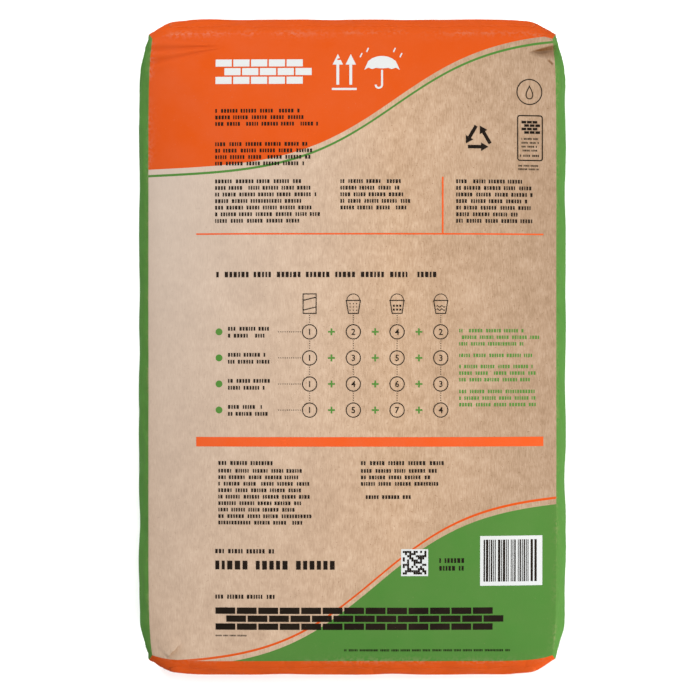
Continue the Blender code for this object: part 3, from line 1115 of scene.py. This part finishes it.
needs = {"Columns": "Int", "Rows": "Int", "Across": "Vector", "Down": "Vector", "Row Shift": "Vector"}
copying, given = new_tree("marks_in_rows", {**needs, "Material": "Material"})
spots = add(copying, "GeometryNodeMeshLine", {"Count": given["Columns"], "Offset": given["Across"]})[0]
marks = add(copying, "GeometryNodeInstanceOnPoints", {"Points": spots, "Instance": given["Geometry"]})[0]
starts = add(copying, "GeometryNodeMeshLine", {"Count": given["Rows"], "Offset": given["Down"]})[0]
index = add(copying, "GeometryNodeInputIndex")[0]
odd = add(copying, "ShaderNodeMath", (index, 2.0), operation="MODULO")[0]
shift = add(copying, "ShaderNodeVectorMath", {0: given["Row Shift"], "Scale": odd}, operation="SCALE")[0]
starts = add(copying, "GeometryNodeSetPosition", {"Geometry": starts, "Offset": shift})[0]
rows = add(copying, "GeometryNodeInstanceOnPoints", {"Points": starts, "Instance": marks})[0]
end_tree(copying, rows, given["Material"])

# Each block has a random width. Blocks run on along their row, with a gap where a word would end, up to a
# random row end. In the table, DRAW picks a random number, RUN adds up along the row, and the rest are sums.
NARROWEST = 0.30
WIDEST = 0.62
BLOCK_GAP = 0.27
WORD_GAP_SHARE = 0.15
WORD_JITTER = 0.05
WORD_STEP_OF_ROW = 0.37
WORD_STEP_OF_SEED = 0.618
SHORTEST_ROW = 0.78
needs = {
    "Rows": "Int",
    "Blocks In Row": "Int",
    "Row Length": "Float",
    "Block Height": "Float",
    "Row Pitch": "Float",
    "Seed": "Int",
    "Material": "Material",
}
lettering, given = new_tree("rows_of_blocks", needs)
known = {socket.name: socket for socket in given}
known["Index"] = add(lettering, "GeometryNodeInputIndex")[0]
for name, operation, *terms in (
    ("Row", "DIVIDE", "Index", "Blocks In Row"),
    ("Row", "FLOOR", "Row"),
    ("Column", "MODULO", "Index", "Blocks In Row"),
    ("Count", "MULTIPLY", "Rows", "Blocks In Row"),
    ("Row Seed", "ADD", "Seed", 1.0),
    ("Word Seed", "ADD", "Seed", 2.0),
    ("Wide", "DRAW", NARROWEST, WIDEST, "Index", "Seed"),
    ("Wide", "MULTIPLY", "Wide", "Block Height"),
    ("Advance", "MULTIPLY_ADD", "Block Height", BLOCK_GAP, "Wide"),
    ("Run", "RUN", "Advance", "Row"),
    ("Block End", "ADD", "Run", "Wide"),
    ("Row End", "DRAW", SHORTEST_ROW, 1.0, "Row", "Row Seed"),
    ("Row End", "MULTIPLY", "Row End", "Row Length"),
    ("Fits", "LESS_THAN", "Block End", "Row End"),
    ("Begun", "MULTIPLY", "Row", WORD_STEP_OF_ROW),
    ("Begun", "MULTIPLY_ADD", "Seed", WORD_STEP_OF_SEED, "Begun"),
    ("Begun", "FRACT", "Begun"),
    ("Begun", "MULTIPLY_ADD", "Begun", 1 - WORD_GAP_SHARE, WORD_GAP_SHARE),
    ("Phase", "MULTIPLY_ADD", "Column", WORD_GAP_SHARE, "Begun"),
    ("Jitter", "DRAW", 0.0, WORD_JITTER, "Index", "Word Seed"),
    ("Phase", "ADD", "Phase", "Jitter"),
    ("Phase", "FRACT", "Phase"),
    ("Printed", "GREATER_THAN", "Phase", WORD_GAP_SHARE),
    ("Kept", "MULTIPLY", "Fits", "Printed"),
    ("X", "MULTIPLY_ADD", "Wide", 0.5, "Run"),
    ("Y", "MULTIPLY", "Block Height", 0.5),
    ("Y", "MULTIPLY_ADD", "Row", "Row Pitch", "Y"),
    ("Y", "MULTIPLY", "Y", -1.0),
):
    values = [known.get(term, term) for term in terms]
    if operation == "DRAW":
        drawn = dict(zip((2, 3, "ID", "Seed"), values))
        known[name] = add(lettering, "FunctionNodeRandomValue", drawn, data_type="FLOAT")[1]
    elif operation == "RUN":
        running = dict(zip(("Value", "Group ID"), values))
        known[name] = add(lettering, "GeometryNodeAccumulateField", running)["Trailing"]
    else:
        known[name] = add(lettering, "ShaderNodeMath", values, operation=operation)[0]
spot = add(lettering, "ShaderNodeCombineXYZ", (known["X"], known["Y"]))[0]
points = add(lettering, "GeometryNodePoints", {"Count": known["Count"]})[0]
points = add(lettering, "GeometryNodeSetPosition", {"Geometry": points, "Position": spot})[0]
block = add(lettering, "GeometryNodeMeshGrid", (1.0, 1.0, 2, 2))[0]
size = add(lettering, "ShaderNodeCombineXYZ", (known["Wide"], known["Block Height"], 1.0))[0]
laid = {"Points": points, "Selection": known["Kept"], "Instance": block, "Scale": size}
end_tree(lettering, add(lettering, "GeometryNodeInstanceOnPoints", laid)[0], given["Material"])


def drawn_by(tree, values, mark):
    """The flat mesh that a tree makes of a mark."""
    obj = made_object(tree.name, mark)
    run_tree(obj, tree, values)
    made = obj.data
    bpy.data.objects.remove(obj)
    return made


def in_rows(art, mark, place, columns, rows, pitch, shift=0.0):
    """Draws a mark again and again in rows, the first at this place."""
    steps = {"Across": (pitch[0], 0.0, 0.0), "Down": (0.0, -pitch[1], 0.0), "Row Shift": (shift, 0.0, 0.0)}
    values = {name: tuple(part * MM for part in step) for name, step in steps.items()}
    place_art(art, drawn_by(copying, {**values, "Columns": columns, "Rows": rows}, mark), *place)


def block_rows(art, left, top, length, rows, height, pitch, seed):
    """Draws rows of small upright blocks of random widths, which stand where a sack has its small print."""
    values = {
        "Rows": rows,
        "Blocks In Row": math.ceil(length / (height * (NARROWEST + BLOCK_GAP))),
        "Row Length": length * MM,
        "Block Height": height * MM,
        "Row Pitch": pitch * MM,
        "Seed": seed,
    }
    place_art(art, drawn_by(lettering, values, bmesh.new()), left, top)


def print_film(colour, art, lift, ink, thin):
    """Prints a drawing on the back face as a film of this ink."""
    finish = printed_paper(colour + "_flexo_ink", ink, thin, INK_ROUGHNESS, INK_GLOSS)
    film = lay_on_sack(colour + "_print", art, (0, 0, 1), lift, INK_THICKNESS, finish)


def bricks(art, left, top, size, joint, columns, rows):
    """Draws courses of bricks in running bond."""
    brick = bmesh.new()
    fill(brick, 0, size[0], -size[1], 0)
    pitch = (size[0] + joint, size[1] + joint)
    in_rows(art, brick, (left, top), columns, rows, pitch, pitch[0] / 2)


# White ink: bricks, signs for dry and upright storage, and the two panels that codes are printed on.
white = bmesh.new()
bricks(white, -127, 267, (15, 6.7), 1.5, 5, 3)
UMBRELLA = (27.5, 257)
CANOPY_RADIUS = 16.5
CANOPY_RISE = 0.8
SCALLOPS = 4
SCALLOP_DEPTH = 2.2


def canopy_top(x):
    return UMBRELLA[1] + CANOPY_RISE * math.sqrt(max(0.0, CANOPY_RADIUS**2 - (x - UMBRELLA[0]) ** 2))


def canopy_hem(x):
    share = (x - UMBRELLA[0] + CANOPY_RADIUS) / (2 * CANOPY_RADIUS) * SCALLOPS
    scallop = SCALLOP_DEPTH * abs(math.sin(math.pi * share))
    return UMBRELLA[1] + scallop * (canopy_top(x) > UMBRELLA[1] + 2.4)


fill(white, UMBRELLA[0] - CANOPY_RADIUS, UMBRELLA[0] + CANOPY_RADIUS, canopy_hem, canopy_top)
handle = [(0, 0), (0, -14)] + arc((-3, -14), 3, 0, -180, 10)[1:]
stroke(white, placed(handle, UMBRELLA), 1.8)
for drop in ((9, 273), (15, 278), (40, 278), (46, 273)):
    stroke(white, placed([(0, 0), (-1.8, -4)], drop), 1.2)
for foot in ((-13.5, 243), (-1.5, 243)):
    stroke(white, placed([(0, 0), (0, 20)], foot), 2.6)
    shape(white, placed([(-4.8, 19), (4.8, 19), (0, 29)], foot))
stroke(white, [(-19, 239), (4, 239)], 2)
for panel in ((118.3, 176.6, -221.3, -175), (45.1, 70.1, -212, -187)):
    fill(white, *panel)
print_film("white", white, WHITE_LIFT, "#b3b5b4", 0.03)


# Orange ink: the rules that part the print into its fields.
orange = bmesh.new()
for rule in ((-144.7, 177.5, 103.9, 105.3), (82.7, 84.3, 104.6, 157.4), (-144.7, 177.5, -92.1, -83.3)):
    fill(orange, *rule)
print_film("orange", orange, COLOUR_LIFT, "#bd491a", 0.05)


# Green ink: the table's dots and plus signs, and the notes beside it.
TABLE_LEFT, TABLE_TOP = -39.5, 14
TABLE_PITCH = (40.4, 24.1)
TABLE_ROWS = 4
green = bmesh.new()
dot = bmesh.new()
shape(dot, arc((0, 0), 3.2, steps=20))
in_rows(green, dot, (-123.4, TABLE_TOP), 1, TABLE_ROWS, TABLE_PITCH)
plus = bmesh.new()
for bar in ((-3.2, 3.2, -0.8, 0.8), (-0.8, 0.8, 0.8, 3.2), (-0.8, 0.8, -3.2, -0.8)):
    shape(plus, rectangle(*bar))
in_rows(green, plus, (TABLE_LEFT + TABLE_PITCH[0] / 2, TABLE_TOP), 3, TABLE_ROWS, TABLE_PITCH)
for seed, (top, rows) in enumerate(((16.7, 3), (-6.2, 1), (-16.5, 3), (-39.6, 3))):
    block_rows(green, 98.8, top, 77, rows, 3.2, 6.1, 200 + seed)
print_film("green", green, COLOUR_LIFT, "#3f6d2a", 0.05)


# Black ink: small print as rows of blocks, the mixing table, plain signs, a code of bars and one of
# squares, and a border of bricks.
black = bmesh.new()
# Each block of small print: its left, its top, the length and number of its rows, their height and pitch.
SMALL_PRINT = (
    (-127, 220.5, 98, 3, 3.5, 6.1),
    (-127, 189.5, 92, 4, 3.5, 6.0),
    (-127, 155, 102, 7, 3.5, 6.1),
    (-11, 155, 66, 5, 3.5, 6.1),
    (96, 155, 74, 7, 3.5, 6.1),
    (-126, 69.5, 221, 1, 5.0, 8.0),
    (-124, -105.5, 60, 1, 3.7, 6.1),
    (-124, -112.8, 88, 9, 3.4, 6.0),
    (8, -105.5, 84, 1, 3.7, 6.1),
    (8, -112.8, 80, 3, 3.4, 6.0),
    (8, -137, 48, 1, 3.4, 6.0),
    (-127, -187, 63, 1, 4.0, 6.0),
    (-127, -197.8, 152, 1, 8.2, 9.0),
    (80.5, -195.5, 30, 2, 4.3, 7.2),
    (-127, -229.5, 57, 1, 3.8, 6.0),
    (-127, -267.3, 37, 1, 1.4, 6.0),
    (-7.5, -281, 182, 1, 2.0, 6.0),
)
for seed, block in enumerate(SMALL_PRINT):
    block_rows(black, *block, 100 + seed)
for row in range(TABLE_ROWS):
    block_rows(black, -115, TABLE_TOP + 4.6 - row * TABLE_PITCH[1], 42, 2, 3.5, 6.4, 140 + row)

RING_RADIUS = 6.6
DOT_RADIUS = 0.5
ring = bmesh.new()
stroke(ring, arc((0, 0), RING_RADIUS), 0.9, closed=True)
in_rows(black, ring, (TABLE_LEFT, TABLE_TOP), 4, TABLE_ROWS, TABLE_PITCH)
dotted = [((TABLE_LEFT - RING_RADIUS - 22, TABLE_TOP), 11, TABLE_ROWS, (2.0, TABLE_PITCH[1]))]
for column in range(4):
    x = TABLE_LEFT + column * TABLE_PITCH[0]
    dotted.append(((x, TABLE_TOP + 15), 1, 4, (1, 2.0)))
    for row in range(TABLE_ROWS - 1):
        dotted.append(((x, TABLE_TOP - 8.5 - row * TABLE_PITCH[1]), 1, 4, (1, 2.2)))
for first, columns, rows, pitch in dotted:
    dot = bmesh.new()
    shape(dot, arc((0, 0), DOT_RADIUS, steps=6))
    in_rows(black, dot, first, columns, rows, pitch)

# The numbers in the rings say how many parts of each there are in a mix.
MIXES = ("1242", "1353", "1463", "1574")
DIGIT_SIZE = 8 * MM
DIGIT_BOLDNESS = 0.1 * MM
for row, mix in enumerate(MIXES):
    for column, digit in enumerate(mix):
        curve = bpy.data.curves.new("digit", "FONT")
        curve.body = digit
        curve.size = DIGIT_SIZE
        curve.resolution_u = 3
        curve.offset = DIGIT_BOLDNESS
        text = put_in_scene("digit", curve)
        graph = bpy.context.evaluated_depsgraph_get()
        mesh = bpy.data.meshes.new_from_object(text.evaluated_get(graph))
        bpy.data.objects.remove(text)
        spots = [vert.co / MM for vert in mesh.vertices]
        middle_x = (min(v.x for v in spots) + max(v.x for v in spots)) / 2
        middle_y = (min(v.y for v in spots) + max(v.y for v in spots)) / 2
        x, y = TABLE_LEFT + column * TABLE_PITCH[0], TABLE_TOP - row * TABLE_PITCH[1]
        place_art(black, mesh, x - middle_x, y - middle_y)

# Over the table stand a sack and three buckets, of gravel, sand and water.
icons = [(TABLE_LEFT + column * TABLE_PITCH[0], 31) for column in range(4)]
stroke(black, placed(rectangle(-6, 6, 0, 18), icons[0]), 0.9, closed=True)
for band in ([(-6, 12), (6, 15)], [(-6, 3), (6, 6)]):
    stroke(black, placed(band, icons[0]), 0.9)
for icon in icons[1:]:
    stroke(black, placed([(-4.5, 0), (4.5, 0), (6.5, 12), (-6.5, 12)], icon), 0.9, closed=True)
    stroke(black, placed(arc((0, 12), 6, 0, 180, 14), icon), 0.7)
for i in range(9):
    shape(black, placed(arc((-3 + 3 * (i % 3), 3 + 3 * (i // 3)), 0.55, steps=6), icons[1]))
for i in range(6):
    x, y = -3 + 3 * (i % 3), 3.5 + 3.6 * (i // 3)
    shape(black, placed(rectangle(x - 0.9, x + 0.9, y - 0.9, y + 0.9), icons[2]))
for level in (3.5, 6.5):
    ripple = [(i - 4, level + 0.8 * math.sin(i * math.pi / 2)) for i in range(9)]
    stroke(black, placed(ripple, icons[3]), 0.7)

# Beside the codes stand three arrows in a loop, a drop in a ring, and a box with bricks and blocks in it.
LOOP = (116.4, 193)
for turn in (0, 120, 240):
    stroke(black, placed([(-9.5, -7.5), (3.0, -7.5)], LOOP, turn), 3.2)
    shape(black, placed([(2.8, -11.5), (9.6, -7.5), (2.8, -3.5)], LOOP, turn))
RING = (164.5, 237)
stroke(black, arc(RING, 11.7), 1.0, closed=True)
turns = [2 * math.pi * i / 24 for i in range(24)]
drop = [(4.4 * math.sin(turn) * math.sin(turn / 2) ** 1.4, 6 * math.cos(turn) - 0.5) for turn in turns]
stroke(black, placed(drop, RING), 0.9, closed=True)
rounded = []
for i, corner in enumerate(((174.6, 212.8), (155.4, 212.8), (155.4, 175.2), (174.6, 175.2))):
    rounded += arc(corner, 2, 90 * i, 90 * i + 90, 4)
stroke(black, rounded, 1.1, closed=True)
bricks(black, 157, 210, (4.4, 2.4), 0.8, 3, 4)
block_rows(black, 157, 194, 17, 4, 1.7, 3.6, 160)
block_rows(black, 155.6, 178.5, 19, 1, 2.0, 3.6, 165)
block_rows(black, 154, 169, 23, 2, 1.6, 3.2, 166)

# The codes are drawn from fixed random numbers and stand for nothing. Squares that meet at a corner stay
# apart, so that the film is closed.
CODE_PITCH = 2.0
CODE_SQUARE = (0, 1.9, 0, 2.0)
bars = random.Random(7)
x = 121.5
while x < 172.5:
    thick = bars.choice((0.8, 0.8, 1.4, 2.2))
    fill(black, x, x + thick, -217.5, -178.5)
    x += thick + bars.choice((0.8, 0.8, 1.4, 2.0))
squares = random.Random(11)
for i in range(11):
    for j in range(11):
        if squares.random() < 0.52:
            shape(black, placed(rectangle(*CODE_SQUARE), (46.6 + CODE_PITCH * i, -210.5 + CODE_PITCH * j)))
bricks(black, -127, -241.5, (18.4, 6.0), 1.5, 13, 3)
print_film("black", black, BLACK_LIFT, "#120c07", 0.02)
bpy.data.objects.remove(outer_skin)


# Floor, light and camera
# The floor is matt white background paper, which gives back even light without gloss. A large soft light
# hangs overhead, with a key light beyond the top end and a low one at the front right that rakes the sides.

floor_mesh = bpy.data.meshes.new("floor")
floor_mesh.from_pydata([(-6, -6, 0), (6, -6, 0), (6, 6, 0), (-6, 6, 0)], [], [(0, 1, 2, 3)])
floor = put_in_scene("floor", floor_mesh)
floor_finish, tree, shader = new_material("white_paper_backdrop")
shader.inputs["Base Color"].default_value = linear("#fdfdfd")
shader.inputs["Roughness"].default_value = 0.9
floor_mesh.materials.append(floor_finish)


def soft_light(name, place, aim, size, power):
    """A round area light that shines at a point and isn't itself in the picture."""
    light = bpy.data.lights.new(name, "AREA")
    light.shape = "DISK"
    light.size = size
    light.energy = power
    lamp = put_in_scene(name, light)
    lamp.location = place
    lamp.rotation_euler = (Vector(aim) - Vector(place)).to_track_quat("-Z", "Y").to_euler()
    lamp.visible_camera = False


soft_light("overhead", (0.2, 0.2, 3.3), (0, 0, 0), 2.0, 95)
soft_light("key", (-0.8, 2.2, 2.0), (0, 0, 0.1), 0.8, 62)
soft_light("low", (2.12, -1.36, 0.7), (0.1, 0, 0.06), 0.7, 65)
world = bpy.data.worlds.new("studio")
bpy.context.scene.world = world
world.use_nodes = True
world.node_tree.nodes["Background"].inputs["Color"].default_value = linear("#ffffff")
world.node_tree.nodes["Background"].inputs["Strength"].default_value = 0.35
bpy.context.scene.view_settings.view_transform = "Standard"

camera_data = bpy.data.cameras.new("camera")
camera_data.lens = 148.4
camera_data.sensor_width = 36
camera = put_in_scene("camera", camera_data)
camera.location = (-2.2 * MM, -2.8 * MM, 2.79)
bpy.context.scene.camera = camera
